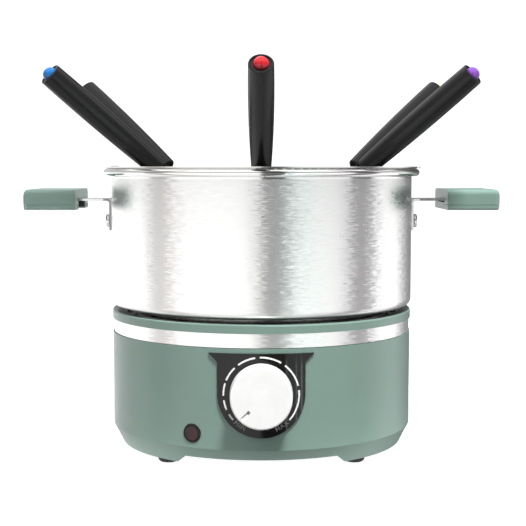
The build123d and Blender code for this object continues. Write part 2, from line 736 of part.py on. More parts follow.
def make_grip_screws():
    group = Part()
    for side in (0, 180):
        for x in GRIP_SCREW_X:
            head = post(2.8, GRIP_LOW_Z + 0.2, GRIP_LOW_Z + 1.6, x, 0)
            shaft = post(1.45, GRIP_LOW_Z + 1.6, GRIP_TOP_Z - 2.4, x, 0)
            drive = block(x - 1.8, x + 1.8, -0.4, 0.4, GRIP_LOW_Z, GRIP_LOW_Z + 0.8)
            group += Rot(0, 0, side) * (head + shaft - drive)
    return group


# ---------------------------------------------------------------- fork ring and forks
def fork_place(index):
    """Fork frame: origin at the handle's lower end, local z up along the fork."""
    angle = FORK_DEG[index]
    x, y = polar(FORK_FOOT_R, angle)
    return Pos(x, y, RING_MID_Z) * Rot(0, 0, angle) * Rot(0, 90 - FORK_LEAN_DEG, 0)


def make_fork_ring():
    """Flat steel ring on the rim, with one notch per fork, a locating skirt and two lift tabs."""
    top = RING_Z + RING_SHEET
    ring = post(RING_R, RING_Z, top)
    ring = chamfer(ring.faces().sort_by(Axis.Z)[0].edges(), 0.3)
    ring -= post(RING_INNER_R, RING_Z - 1, top + 1)
    ring += post(88.4, RING_Z - 5, RING_Z) - post(87.6, RING_Z - 5, RING_Z)
    for index, angle in enumerate(FORK_DEG):
        lane = block(RING_INNER_R - 10, FORK_FOOT_R, -NOTCH_R, NOTCH_R, RING_Z - 1, top + 1)
        ring -= Rot(0, 0, angle) * lane
        ring -= fork_place(index) * Cylinder(NOTCH_R, 40)
    ring += lift_tab(88.3, 95.9, 7.0, top)
    ring += Rot(0, 0, 180) * block(86.6, 90.1, -5, 5, top, top + 0.6)
    return ring


def lift_tab(start, end, half, low):
    """Flat tab on top of the ring, reaching past the pot's bead."""
    tab = block(start, end, -half, half, low - 0.7, low)
    return fillet(tab.edges().filter_by(Axis.Z).sort_by(Axis.X)[-2:], 3.0)


def make_fork_handle(index):
    """Tapered round handle with softened ends, a socket for the bead and a bore for the shaft."""
    soft = 0.9
    high = HANDLE_LONG
    side_end = (HANDLE_R_TOP, high - 0.6)
    body = spin(
        Line((0, 0), (HANDLE_R_LOW - soft, 0)),
        ThreePointArc((HANDLE_R_LOW - soft, 0), (HANDLE_R_LOW - 0.26, 0.26), (HANDLE_R_LOW, soft)),
        ThreePointArc((HANDLE_R_LOW, soft), (HANDLE_R_MID, 48), side_end),
        ThreePointArc(side_end, (HANDLE_R_TOP - 0.18, high - 0.18), (HANDLE_R_TOP - 0.6, high)),
        Line((HANDLE_R_TOP - 0.6, high), (5.4, high)),
        Line((5.4, high), (5.4, high - 0.5)),
        Line((5.4, high - 0.5), (0, high - 0.5)),
        Line((0, high - 0.5), (0, 0)),
    )
    body -= post(SHAFT_R, -1, SHAFT_IN_HANDLE)
    body -= post(3.0, high - 6, high + 1)
    return fork_place(index) * body


def make_fork_bead(index):
    """Coloured marker: a dome on the handle's end with a stem in its socket."""
    seat = HANDLE_LONG - 0.5
    dome_r = (BEAD_DOME_R**2 + BEAD_DOME_TALL**2) / (2 * BEAD_DOME_TALL)
    crown = HANDLE_LONG + BEAD_DOME_TALL
    base_z = HANDLE_LONG
    dome = spin(
        Line((0, seat), (BEAD_DOME_R, seat)),
        Line((BEAD_DOME_R, seat), (BEAD_DOME_R, base_z)),
        ThreePointArc(
            (BEAD_DOME_R, base_z),
            (dome_r * sin(radians(45)), crown - dome_r * (1 - cos(radians(45)))),
            (0, crown),
        ),
        Line((0, crown), (0, seat)),
    )
    return fork_place(index) * (dome + post(2.95, HANDLE_LONG - 5.9, seat))


def make_fork_shaft(index):
    """Steel shaft with a flattened three-tined head."""
    tip = -SHAFT_BELOW
    rod = post(SHAFT_R, tip + HEAD_LONG - 2, SHAFT_IN_HANDLE)
    head = Plane.YZ * make_face(Polyline(
        (-HEAD_HALF, tip + 1.5),
        (-HEAD_HALF, tip + HEAD_LONG - 4),
        (-SHAFT_R, tip + HEAD_LONG),
        (SHAFT_R, tip + HEAD_LONG),
        (HEAD_HALF, tip + HEAD_LONG - 4),
        (HEAD_HALF, tip + 1.5),
        (HEAD_HALF - 0.8, tip),
        (-HEAD_HALF + 0.8, tip),
        close=True,
    ))
    blade = extrude(head, amount=0.6, both=True)
    for y in (-1.3, 1.3):
        blade -= block(-2, 2, y - 0.55, y + 0.55, tip - 1, tip + 12)
    return fork_place(index) * (rod + blade)


# ---------------------------------------------------------------- build and write
def build_nodes():
    """Every sub-part by its node name."""
    nodes = {}
    element = make_heating_element()
    nodes["base_housing"] = make_base_housing()
    nodes["bottom_cover"] = make_bottom_cover()
    nodes["cover_screws"] = make_cover_screws()
    nodes["foot_rear_right"] = make_foot(45)
    nodes["foot_rear_left"] = make_foot(135)
    nodes["foot_front_left"] = make_foot(225)
    nodes["foot_front_right"] = make_foot(315)
    nodes["trim_band"] = make_trim_band()
    nodes["top_collar"] = make_top_collar()
    nodes["drip_tray"] = make_drip_tray()
    nodes["heating_plate"] = make_heating_plate(element)
    nodes["heating_element"] = element
    nodes["heater_terminals"] = make_heater_terminals()
    nodes["heat_shield"] = make_heat_shield()
    nodes["shield_screws"] = make_shield_screws()
    nodes["plate_posts"] = make_plate_posts()
    nodes["plate_screws"] = make_plate_screws()
    nodes["control_panel"] = make_control_panel()
    nodes["panel_screws"] = make_panel_screws()
    nodes["thermostat_body"] = make_thermostat_body()
    nodes["thermostat_bracket"] = make_thermostat_bracket()
    nodes["sensor_bulb"] = make_sensor_bulb()
    nodes["indicator_holder"] = make_indicator_holder()
    nodes["indicator_lens"] = make_indicator_lens()
    nodes["indicator_lamp"] = make_indicator_lamp()
    nodes["terminal_block"] = make_terminal_block()
    nodes["thermal_fuse"] = make_thermal_fuse()
    nodes["lead_wires"] = make_lead_wires()
    nodes["cord_gland"] = make_cord_gland()
    nodes["control_knob"] = make_control_knob()
    nodes["thermostat_spindle"] = make_thermostat_spindle()
    nodes["pot_shell"] = make_pot_shell()
    nodes["pot_base_disc"] = make_pot_base_disc()
    nodes["bracket_right"] = make_bracket(0)
    nodes["bracket_left"] = make_bracket(180)
    nodes["grip_right"] = make_grip(0)
    nodes["grip_left"] = make_grip(180)
    nodes["grip_cover_right"] = make_grip_cover(0, open_pocket=False)
    nodes["grip_cover_left"] = make_grip_cover(180, open_pocket=True)
    nodes["handle_rivets"] = make_handle_rivets()
    nodes["grip_screws"] = make_grip_screws()
    nodes["fork_ring"] = make_fork_ring()
    for index in range(len(FORK_DEG)):
        nodes[f"fork_{index + 1}_handle"] = make_fork_handle(index)
        nodes[f"fork_{index + 1}_bead"] = make_fork_bead(index)
        nodes[f"fork_{index + 1}_shaft"] = make_fork_shaft(index)
    return nodes


os.makedirs("parts", exist_ok=True)
for name, shape in build_nodes().items():
    export_step(shape, f"parts/{name}.step")
    print(name, len(shape.solids()), round(shape.volume, 1))
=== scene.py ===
"""Electric fondue pot set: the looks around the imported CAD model. Metres, +Z up."""

import math

import bmesh
import bpy
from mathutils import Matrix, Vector


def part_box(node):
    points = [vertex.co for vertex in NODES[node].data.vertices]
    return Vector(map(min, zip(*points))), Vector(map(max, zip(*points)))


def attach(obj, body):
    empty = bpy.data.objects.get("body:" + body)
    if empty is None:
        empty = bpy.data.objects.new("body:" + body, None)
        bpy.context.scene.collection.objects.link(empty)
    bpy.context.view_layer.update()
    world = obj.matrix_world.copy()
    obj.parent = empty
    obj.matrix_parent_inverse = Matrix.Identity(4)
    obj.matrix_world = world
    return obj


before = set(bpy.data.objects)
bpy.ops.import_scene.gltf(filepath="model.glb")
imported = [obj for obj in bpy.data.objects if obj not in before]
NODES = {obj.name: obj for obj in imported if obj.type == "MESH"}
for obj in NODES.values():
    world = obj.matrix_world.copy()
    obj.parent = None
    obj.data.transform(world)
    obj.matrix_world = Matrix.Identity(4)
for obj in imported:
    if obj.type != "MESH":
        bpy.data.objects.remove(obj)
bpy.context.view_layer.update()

# ---------------------------------------------------------------- camera
CAMERA_PLACE = (0.00093, -0.730, 0.1668)
CAMERA_PITCH_DOWN = math.radians(4.53)
CAMERA_LENS = 82.6
SENSOR_WIDTH = 36.0

# ---------------------------------------------------------------- finish colours, linear
SAGE = (0.172, 0.262, 0.225)
STEEL = (0.80, 0.80, 0.79)
CHARCOAL = (0.008, 0.008, 0.0076)
WHITE_PLASTIC = (0.97, 0.97, 0.96)
BLACK = (0.007, 0.007, 0.0075)

# ---------------------------------------------------------------- printed marks on the panel
DIAL_R = 0.0204
DIAL_STROKE = 0.0009
DIAL_DASHES = (
    (48.0, 58.5),
    (66.0, 81.0),
    (88.0, 107.5),
    (112.4, 135.6),
    (142.6, 170.7),
    (178.0, 211.5),
    (218.7, 256.4),
    (263.4, 312.0),
)
DIAL_DROP = 0.0003
PRINT_HEIGHT = 0.00004
LETTER_GAP = 1.12
LETTER_WEIGHT = 0.00006

# ---------------------------------------------------------------- places toned in the colour: a lens tint, and painted shade in the knob's pointer groove, on the collar ledge and in the grip pocket
LENS_R = 0.0045

# the knob's pointer groove, where shade is painted
POINTER_TURN = math.radians(43.0)
GROOVE_SKIN, GROOVE_DEPTH = 0.00012, 0.00175
GROOVE_REACH = (0.0086, 0.0153)
GROOVE_HALF = 0.00105
GROOVE_SIDE_WALL = 0.00072
GROOVE_END_WALL = 0.00925

# the collar's top ledge, where shade is painted
LEDGE_DEPTH = 0.0009
LEDGE_INSET = 0.0008

# the left grip's bracket pocket, where shade is painted
POCKET_DEPTH = 0.0054
POCKET_SIDES = (-0.0190, 0.0256)
POCKET_FLOOR = 0.0009

FAR = 1.0


# ================================================================ node helpers
class Finish:
    """One procedural material, built node by node."""

    def __init__(self, name):
        self.material = bpy.data.materials.new(name)
        self.material.use_nodes = True
        self.tree = self.material.node_tree
        self.bsdf = self.tree.nodes["Principled BSDF"]
        self.coords = self.tree.nodes.new("ShaderNodeTexCoord").outputs["Object"]

    def set(self, **values):
        """Constants for the shader's own sockets."""
        for name, value in values.items():
            self.bsdf.inputs[name.replace("_", " ")].default_value = value

    def link(self, source, target):
        self.tree.links.new(source, target)

    def feed(self, name, source):
        self.link(source, self.bsdf.inputs[name])

    def math(self, operation, a, b=0.0, c=0.0):
        node = self.tree.nodes.new("ShaderNodeMath")
        node.operation = operation
        for socket, value in zip(node.inputs, (a, b, c)):
            if isinstance(value, (int, float)):
                socket.default_value = value
            else:
                self.link(value, socket)
        return node.outputs[0]

    def scaled(self, vector, scale):
        node = self.tree.nodes.new("ShaderNodeMapping")
        self.link(vector, node.inputs["Vector"])
        node.inputs["Scale"].default_value = scale
        return node.outputs[0]

    def round_z(self, along, across):
        """Coordinates that run round Z: along per radian, across per metre of height and radius."""
        split = self.tree.nodes.new("ShaderNodeSeparateXYZ")
        self.link(self.coords, split.inputs[0])
        x, y, z = split.outputs
        flat = self.tree.nodes.new("ShaderNodeCombineXYZ")
        self.link(x, flat.inputs[0])
        self.link(y, flat.inputs[1])
        unit = self.tree.nodes.new("ShaderNodeVectorMath")
        unit.operation = "NORMALIZE"
        self.link(flat.outputs[0], unit.inputs[0])
        turned = self.tree.nodes.new("ShaderNodeVectorMath")
        turned.operation = "SCALE"
        self.link(unit.outputs[0], turned.inputs[0])
        turned.inputs["Scale"].default_value = along
        radius = self.tree.nodes.new("ShaderNodeVectorMath")
        radius.operation = "LENGTH"
        self.link(flat.outputs[0], radius.inputs[0])
        rise = self.math("MULTIPLY", self.math("ADD", z, radius.outputs["Value"]), across)
        stack = self.tree.nodes.new("ShaderNodeSeparateXYZ")
        self.link(turned.outputs[0], stack.inputs[0])
        out = self.tree.nodes.new("ShaderNodeCombineXYZ")
        self.link(stack.outputs[0], out.inputs[0])
        self.link(stack.outputs[1], out.inputs[1])
        self.link(rise, out.inputs[2])
        return out.outputs[0]

    def noise(self, vector, scale, detail=3.0, roughness=0.55):
        node = self.tree.nodes.new("ShaderNodeTexNoise")
        self.link(vector, node.inputs["Vector"])
        node.inputs["Scale"].default_value = scale
        node.inputs["Detail"].default_value = detail
        node.inputs["Roughness"].default_value = roughness
        return node.outputs["Fac"]

    def ramp(self, fac, *stops):
        node = self.tree.nodes.new("ShaderNodeValToRGB")
        self.link(fac, node.inputs[0])
        elements = node.color_ramp.elements
        while len(elements) < len(stops):
            elements.new(0.5)
        for element, (place, colour) in zip(elements, stops):
            element.position = place
            element.color = (*colour, 1.0) if len(colour) == 3 else colour
        return node.outputs["Color"]

    def span(self, fac, low, high):
        """fac from 0..1 to low..high."""
        node = self.tree.nodes.new("ShaderNodeMapRange")
        self.link(fac, node.inputs["Value"])
        node.inputs["From Min"].default_value = 0.25
        node.inputs["From Max"].default_value = 0.75
        node.inputs["To Min"].default_value = low
        node.inputs["To Max"].default_value = high
        return node.outputs["Result"]

    def bump(self, height, strength, distance, normal=None):
        node = self.tree.nodes.new("ShaderNodeBump")
        node.inputs["Strength"].default_value = strength
        node.inputs["Distance"].default_value = distance
        self.link(height, node.inputs["Height"])
        if normal is not None:
            self.link(normal, node.inputs["Normal"])
        return node.outputs["Normal"]

    def tangent_round_z(self):
        """The direction round Z, also fed to the shader as its tangent."""
        node = self.tree.nodes.new("ShaderNodeTangent")
        node.direction_type = "RADIAL"
        node.axis = "Z"
        self.feed("Tangent", node.outputs[0])
        return node.outputs[0]

    def leaned(self, direction, amount):
        """The surface normal leaned along a direction."""
        push = self.tree.nodes.new("ShaderNodeVectorMath")
        push.operation = "SCALE"
        self.link(direction, push.inputs[0])
        self.link(amount, push.inputs["Scale"])
        flat = self.tree.nodes.new("ShaderNodeNewGeometry")
        total = self.tree.nodes.new("ShaderNodeVectorMath")
        total.operation = "ADD"
        self.link(flat.outputs["Normal"], total.inputs[0])
        self.link(push.outputs[0], total.inputs[1])
        unit = self.tree.nodes.new("ShaderNodeVectorMath")
        unit.operation = "NORMALIZE"
        self.link(total.outputs[0], unit.inputs[0])
        return unit.outputs[0]

    def place(self):
        """The three object coordinates as separate sockets."""
        node = self.tree.nodes.new("ShaderNodeSeparateXYZ")
        self.link(self.coords, node.inputs[0])
        return node.outputs

    def edges(self, radius=0.0005):
        """0 on open faces, rising to 1 on edges, broken up by noise: the mask for edge wear and a
        painted edge highlight.
        """
        soft = self.tree.nodes.new("ShaderNodeBevel")
        soft.samples = 4
        soft.inputs["Radius"].default_value = radius
        flat = self.tree.nodes.new("ShaderNodeNewGeometry")
        turn = self.tree.nodes.new("ShaderNodeVectorMath")
        turn.operation = "DOT_PRODUCT"
        self.link(soft.outputs[0], turn.inputs[0])
        self.link(flat.outputs["Normal"], turn.inputs[1])
        bend = self.math("SUBTRACT", 1.0, turn.outputs["Value"])
        rub = self.span(self.noise(self.coords, 260.0, 4.0, 0.7), 1.0, 4.0)
        return self.math("MINIMUM", self.math("MULTIPLY", bend, rub), 1.0)

    def mixed(self, fac, under, over):
        """Colour socket under, covered by a colour where fac is 1."""
        node = self.tree.nodes.new("ShaderNodeMix")
        node.data_type = "RGBA"
        self.link(fac, node.inputs["Factor"])
        for socket, value in zip((node.inputs[6], node.inputs[7]), (under, over)):
            if isinstance(value, tuple):
                socket.default_value = (*value, 1.0)
            else:
                self.link(value, socket)
        return node.outputs[2]

    def level(self, colour):
        """The brightness of a colour socket as a plain number."""
        node = self.tree.nodes.new("ShaderNodeRGBToBW")
        self.link(colour, node.inputs[0])
        return node.outputs[0]

    def gate(self, value, low, high):
        """1 where low < value < high."""
        above = self.math("GREATER_THAN", value, low)
        below = self.math("LESS_THAN", value, high)
        return self.math("MULTIPLY", above, below)


def shade(colour, factor):
    """A colour made lighter or darker, never past white."""
    return tuple(min(1.0, c * factor) for c in colour)


# ================================================================ finishes
def moulded_plastic(name, colour, gloss=0.33, grain=0.10, grain_scale=2600.0, variation=0.05):
    """Injection-moulded plastic: fine spark-eroded grain, slow colour drift, uneven gloss, and
    edges lightened as a painted highlight and made a little glossier as by wear.
    """
    f = Finish(name)
    drift = f.noise(f.coords, 35.0, 4.0)
    body = f.ramp(drift, (0.25, shade(colour, 1 - variation)), (0.75, shade(colour, 1 + variation)))
    wear_and_edge_highlight = f.edges()
    # edges painted lighter: a painted edge highlight, broken up by noise like rubbed wear
    f.feed("Base Color", f.mixed(f.math("MULTIPLY", wear_and_edge_highlight, 0.35), body, shade(colour, 1.25)))
    handled = f.noise(f.coords, 140.0, 5.0, 0.65)
    satin = f.span(handled, gloss - 0.04, gloss + 0.05)
    f.feed("Roughness", f.math("SUBTRACT", satin, f.math("MULTIPLY", wear_and_edge_highlight, 0.06)))
    fine = f.noise(f.coords, grain_scale, 2.0)
    waves = f.noise(f.coords, 60.0, 2.0)
    f.feed("Normal", f.bump(fine, grain, 0.00006, f.bump(waves, 0.03, 0.0006)))
    return f


def brushed_round(name, colour=STEEL, gloss=0.30, streaks=0.05, ripple=0.31, rolled_from=9.0):
    """Stainless sheet brushed round the Z axis: short hairlines that break up the reflections.

    Above the height rolled_from the sheet is rolled and polished, not brushed.
    """
    f = Finish(name)
    hair = f.noise(f.round_z(20.0, 1900.0), 1.0, 2.0, 0.6)
    sheet = f.ramp(hair, (0.32, shade(colour, 1 - streaks)), (0.60, colour))
    wear_and_edge_highlight = f.edges(0.0004)
    # edges painted lighter: a painted edge highlight, broken up by noise like rubbed wear
    f.feed("Base Color", f.mixed(f.math("MULTIPLY", wear_and_edge_highlight, 0.5), sheet, shade(colour, 1.12)))
    flat = f.math("LESS_THAN", f.place()[2], rolled_from)
    brushed = f.math("MULTIPLY", f.span(hair, gloss + 0.05, gloss - 0.03), flat)
    polished = f.span(f.noise(f.coords, 300.0, 3.0), 0.09, 0.13)
    shine = f.math("MULTIPLY", polished, f.math("SUBTRACT", 1.0, flat))
    f.feed("Roughness", f.math("ADD", brushed, shine))
    f.set(Metallic=1.0, Anisotropic=0.3, Anisotropic_Rotation=0.25)
    around = f.tangent_round_z()
    sway = f.math("MULTIPLY", f.math("SUBTRACT", hair, 0.5), ripple)
    f.feed("Normal", f.leaned(around, f.math("MULTIPLY", sway, flat)))
    return f


COARSE = (1500.0, 1500.0, 1500.0)


def worked_metal(name, colour, gloss=0.3, grain=(900.0, 900.0, 900.0), variation=0.08):
    """Plain metal parts: a directional or even grain with small colour and gloss changes."""
    f = Finish(name)
    lines = f.noise(f.scaled(f.coords, grain), 1.0, 4.0, 0.6)
    stains = f.noise(f.coords, 90.0, 4.0)
    body = f.ramp(stains, (0.3, shade(colour, 1 - variation)), (0.7, colour))
    wear_and_edge_highlight = f.math("MULTIPLY", f.edges(0.0003), 0.6)
    # edges painted lighter: a painted edge highlight, broken up by noise like rubbed wear
    f.feed("Base Color", f.mixed(wear_and_edge_highlight, body, shade(colour, 1.15)))
    f.feed("Roughness", f.span(lines, gloss - 0.06, gloss + 0.08))
    f.feed("Normal", f.bump(lines, 0.08, 0.00004))
    f.set(Metallic=1.0)
    return f


def glazed(name, colour, gloss=0.12, specular=0.5):
    """High-gloss plastic: slow colour drift, faint flow waves and hairline polishing marks."""
    f = Finish(name)
    drift = f.noise(f.coords, 120.0, 3.0)
    body = f.ramp(drift, (0.25, shade(colour, 0.92)), (0.75, colour))
    wear_and_edge_highlight = f.edges(0.0003)
    # edges painted lighter: a painted edge highlight, broken up by noise like rubbed wear
    f.feed("Base Color", f.mixed(f.math("MULTIPLY", wear_and_edge_highlight, 0.25), body, shade(colour, 1.4)))
    marks = f.noise(f.scaled(f.coords, (2400.0, 2400.0, 300.0)), 1.0, 3.0)
    f.feed("Roughness", f.span(marks, gloss - 0.02, gloss + 0.05))
    waves = f.noise(f.coords, 90.0, 1.0)
    f.feed("Normal", f.bump(waves, 0.05, 0.0002))
    f.set(Specular_IOR_Level=specular)
    return f


def rubber(name):
    """Matt moulded rubber with a coarse grain."""
    return moulded_plastic(name, (0.016, 0.016, 0.016), 0.68, 0.25, 1800.0, 0.15)


def printed_ink(name, colour):
    """Pad-printed ink: matt, slightly uneven cover."""
    f = Finish(name)
    cover = f.noise(f.coords, 3000.0, 3.0)
    f.feed("Base Color", f.ramp(cover, (0.25, shade(colour, 0.93)), (0.7, colour)))
    f.feed("Roughness", f.span(cover, 0.45, 0.6))
    f.feed("Normal", f.bump(cover, 0.05, 0.00002))
    return f


def lens_finish(name):
    """Smoked lens: maroon where the lamp sits, brownish grey to its left, darker at the rim."""
    f = Finish(name)
    low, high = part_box("indicator_lens")
    centre = (low + high) / 2
    away = f.tree.nodes.new("ShaderNodeVectorMath")
    away.operation = "DISTANCE"
    f.link(f.coords, away.inputs[0])
    away.inputs[1].default_value = centre
    rim = f.gate(away.outputs["Value"], LENS_R * 0.86, FAR)
    side = f.math("DIVIDE", f.math("SUBTRACT", f.place()[0], centre.x), 2 * LENS_R)
    drift = f.math("MULTIPLY", f.noise(f.coords, 420.0, 3.0), 0.12)
    across = f.math("ADD", f.math("ADD", side, 0.44), drift)
    tint = f.ramp(
        across,
        (0.05, (0.018, 0.014, 0.012)),
        (0.33, (0.026, 0.017, 0.015)),
        (0.40, (0.044, 0.012, 0.017)),
        (0.95, (0.056, 0.018, 0.025)),
    )
    f.feed("Base Color", f.mixed(rim, tint, (0.012, 0.008, 0.008)))
    ripple = f.noise(f.coords, 500.0, 2.0)
    f.feed("Roughness", f.span(ripple, 0.12, 0.20))
    f.feed("Normal", f.bump(ripple, 0.02, 0.0002))
    f.set(Specular_IOR_Level=0.25)
    return f


def knob_finish(name):
    """White gloss plastic with painted shade in the pointer groove: its floor a little grey, one
    side wall and the inner end wall dark grey, where they sit in shade.
    """
    f = glazed(name, WHITE_PLASTIC, 0.24)
    x, y, z = f.place()
    low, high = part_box("control_knob")
    u = f.math("SUBTRACT", x, (low.x + high.x) / 2)
    v = f.math("SUBTRACT", z, (low.z + high.z) / 2)
    sine, cosine = math.sin(POINTER_TURN), math.cos(POINTER_TURN)
    along = f.math("ADD", f.math("MULTIPLY", u, -sine), f.math("MULTIPLY", v, -cosine))
    across = f.math("ADD", f.math("MULTIPLY", u, -cosine), f.math("MULTIPLY", v, sine))
    sunk = f.gate(y, low.y + GROOVE_SKIN, low.y + GROOVE_DEPTH)
    width = f.gate(across, -GROOVE_HALF, GROOVE_HALF)
    groove = f.math("MULTIPLY", sunk, f.math("MULTIPLY", f.gate(along, *GROOVE_REACH), width))
    side_wall = f.gate(across, GROOVE_SIDE_WALL, 0.01)
    wall = f.math("MAXIMUM", side_wall, f.gate(along, 0.0, GROOVE_END_WALL))
    paint = f.bsdf.inputs["Base Color"].links[0].from_socket
    # painted shade: the groove floor toned a little grey
    bottom = f.mixed(groove, paint, (0.86, 0.86, 0.85))
    shaded = f.math("MULTIPLY", groove, wall)
    # painted shade: the groove's side wall and inner end wall toned dark grey
    f.feed("Base Color", f.mixed(shaded, bottom, (0.14, 0.14, 0.135)))
    return f


def ledge_shade_finish(name):
    """Sage plastic with painted shade: its flat top ledge, under the pot, is toned dark like the
    tray beside it, as the pot shades it.
    """
    f = moulded_plastic(name, SAGE, 0.34)
    x, y, z = f.place()
    low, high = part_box("top_collar")
    radius = f.math("SQRT", f.math("ADD", f.math("MULTIPLY", x, x), f.math("MULTIPLY", y, y)))
    top = f.gate(z, high.z - LEDGE_DEPTH, FAR)
    ledge = f.math("MULTIPLY", top, f.gate(radius, 0.0, high.x - LEDGE_INSET))
    paint = f.bsdf.inputs["Base Color"].links[0].from_socket
    # painted shade: the top ledge under the pot toned dark
    f.feed("Base Color", f.mixed(ledge, paint, (0.040, 0.050, 0.046)))
    return f


def pocket_shade_finish(name):
    """Sage plastic with painted shade: the inner end of the left cover, round the bracket pocket,
    toned dark.
    """
    f = moulded_plastic(name, SAGE, 0.34)
    low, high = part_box("grip_cover_left")
    x, y, z = f.place()
    inner = f.math("MULTIPLY", f.gate(x, high.x - POCKET_DEPTH, FAR), f.gate(y, *POCKET_SIDES))
    painted_pocket_mask = f.math("MULTIPLY", inner, f.gate(z, low.z + POCKET_FLOOR, high.z))
    paint = f.bsdf.inputs["Base Color"].links[0].from_socket
    # painted shade: the cover's inner end round the pocket toned dark
    f.feed("Base Color", f.mixed(painted_pocket_mask, paint, (0.020, 0.018, 0.018)))
    return f


FINISH = {
    "sage": moulded_plastic("sage_plastic", SAGE, 0.34),
    "sage_pocket_shade": pocket_shade_finish("sage_plastic_pocket_shade"),
    "sage_ledge_shade": ledge_shade_finish("sage_plastic_ledge_shade"),
    "black_plastic": moulded_plastic("black_plastic", (0.014, 0.014, 0.014), 0.42, 0.16),
    "rubber": rubber("rubber"),
    "steel": brushed_round("brushed_steel", rolled_from=0.1605),
    "steel_trim": brushed_round("brushed_steel_trim"),
    "steel_ring": brushed_round("brushed_steel_ring", (0.70, 0.69, 0.67), 0.16, 0.04, 0.05),
    "steel_plain": worked_metal("drawn_steel", (0.66, 0.66, 0.65), 0.20, (500.0, 2400.0, 500.0)),
    "zinc": worked_metal("zinc_screws", (0.62, 0.63, 0.64), 0.34),
    "zinc_sheet": worked_metal("zinc_sheet", (0.60, 0.62, 0.63), 0.42, (300.0, 300.0, 300.0), 0.2),
    "cast": worked_metal("cast_aluminium", (0.55, 0.55, 0.54), 0.55, COARSE, 0.15),
    "sheath": worked_metal("element_sheath", (0.20, 0.19, 0.18), 0.50, (700.0, 700.0, 700.0), 0.25),
    "copper": worked_metal("copper", (0.70, 0.33, 0.18), 0.30),
    "enamel": glazed("black_enamel", (0.012, 0.012, 0.012), 0.30),
    "charcoal": glazed("gloss_charcoal", CHARCOAL, 0.045, 0.27),
    "white": knob_finish("gloss_white"),
    "phenolic": moulded_plastic("phenolic", (0.030, 0.018, 0.012), 0.45, 0.14),
    "lens": lens_finish("red_lens"),
    "lamp": glazed("lamp_glass", (0.55, 0.30, 0.12), 0.06),
    "ceramic": moulded_plastic("ceramic", (0.72, 0.70, 0.65), 0.55, 0.2),
    "silicone": moulded_plastic("silicone", (0.42, 0.10, 0.07), 0.48, 0.1),
    "handle": glazed("handle_black", BLACK, 0.30, 0.28),
    "ink": printed_ink("panel_ink", (0.85, 0.85, 0.84)),
    "ink_grey": printed_ink("panel_ink_grey", (0.24, 0.24, 0.235)),
    "bead_red": glazed("bead_red", (0.480, 0.008, 0.016), 0.18),
    "bead_purple": glazed("bead_purple", (0.175, 0.052, 0.360), 0.18),
    "bead_yellow": glazed("bead_yellow", (0.800, 0.520, 0.030), 0.18),
    "bead_green": glazed("bead_green", (0.060, 0.360, 0.090), 0.18),
    "bead_orange": glazed("bead_orange", (0.800, 0.200, 0.020), 0.18),
    "bead_blue": glazed("bead_blue", (0.003, 0.130, 0.400), 0.18),
}

BEAD_COLOURS = ("red", "purple", "yellow", "green", "orange", "blue")

NODE_FINISH = {
    "base_housing": "sage",
    "bottom_cover": "black_plastic",
    "cover_screws": "zinc",
    "foot_rear_right": "rubber",
    "foot_rear_left": "rubber",
    "foot_front_left": "rubber",
    "foot_front_right": "rubber",
    "trim_band": "steel_trim",
    "top_collar": "sage_ledge_shade",
    "drip_tray": "enamel",
    "heating_plate": "cast",
    "heating_element": "sheath",
    "heater_terminals": "zinc",
    "heat_shield": "zinc_sheet",
    "shield_screws": "zinc",
    "plate_posts": "zinc",
    "plate_screws": "zinc",
    "control_panel": "charcoal",
    "panel_screws": "zinc",
    "thermostat_body": "phenolic",
    "thermostat_bracket": "zinc_sheet",
    "sensor_bulb": "copper",
    "indicator_holder": "handle",
    "indicator_lens": "lens",
    "indicator_lamp": "lamp",
    "terminal_block": "ceramic",
    "thermal_fuse": "ceramic",
    "lead_wires": "silicone",
    "cord_gland": "black_plastic",
    "control_knob": "white",
    "thermostat_spindle": "zinc",
    "pot_shell": "steel",
    "pot_base_disc": "steel_plain",
    "bracket_right": "steel_plain",
    "bracket_left": "steel_plain",
    "grip_right": "sage",
    "grip_left": "sage",
    "grip_cover_right": "sage",
    "grip_cover_left": "sage_pocket_shade",
    "handle_rivets": "steel_plain",
    "grip_screws": "zinc",
    "fork_ring": "steel_ring",
}
for index, colour in enumerate(BEAD_COLOURS, start=1):
    NODE_FINISH[f"fork_{index}_handle"] = "handle"
    NODE_FINISH[f"fork_{index}_bead"] = f"bead_{colour}"
    NODE_FINISH[f"fork_{index}_shaft"] = "steel_plain"


def dress(node, finish):
    """Gives a CAD node its finish."""
    obj = NODES[node]
    obj.data.materials.clear()
    obj.data.materials.append(FINISH[finish].material)


for node_name, finish_name in NODE_FINISH.items():
    dress(node_name, finish_name)


# ================================================================ printed dial
panel_low, panel_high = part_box("control_panel")
knob_low, knob_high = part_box("control_knob")
DIAL_X = (knob_low.x + knob_high.x) / 2
DIAL_Z = (knob_low.z + knob_high.z) / 2 - DIAL_DROP
PANEL_FACE_R = -panel_low.y


def on_panel(u, v, height=PRINT_HEIGHT):
    """A point of the panel's curved face: u to the right of the dial centre, v above it."""
    x = DIAL_X + u
    radius = PANEL_FACE_R + height
    return (x, -math.sqrt(radius * radius - x * x), DIAL_Z + v)


def dial_point(radius, clockwise_from_down):
    """A point of the dial as u, v from its centre."""
    angle = math.radians(clockwise_from_down)
    return (-radius * math.sin(angle), -radius * math.cos(angle))


def add_mesh(name, mesh_data, finish, body):
    """A piece that isn't in the CAD, dressed and riding on a body."""
    obj = bpy.data.objects.new(name, mesh_data)
    bpy.context.scene.collection.objects.link(obj)
    obj.data.materials.clear()
    obj.data.materials.append(FINISH[finish].material)
    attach(obj, body)
    return obj


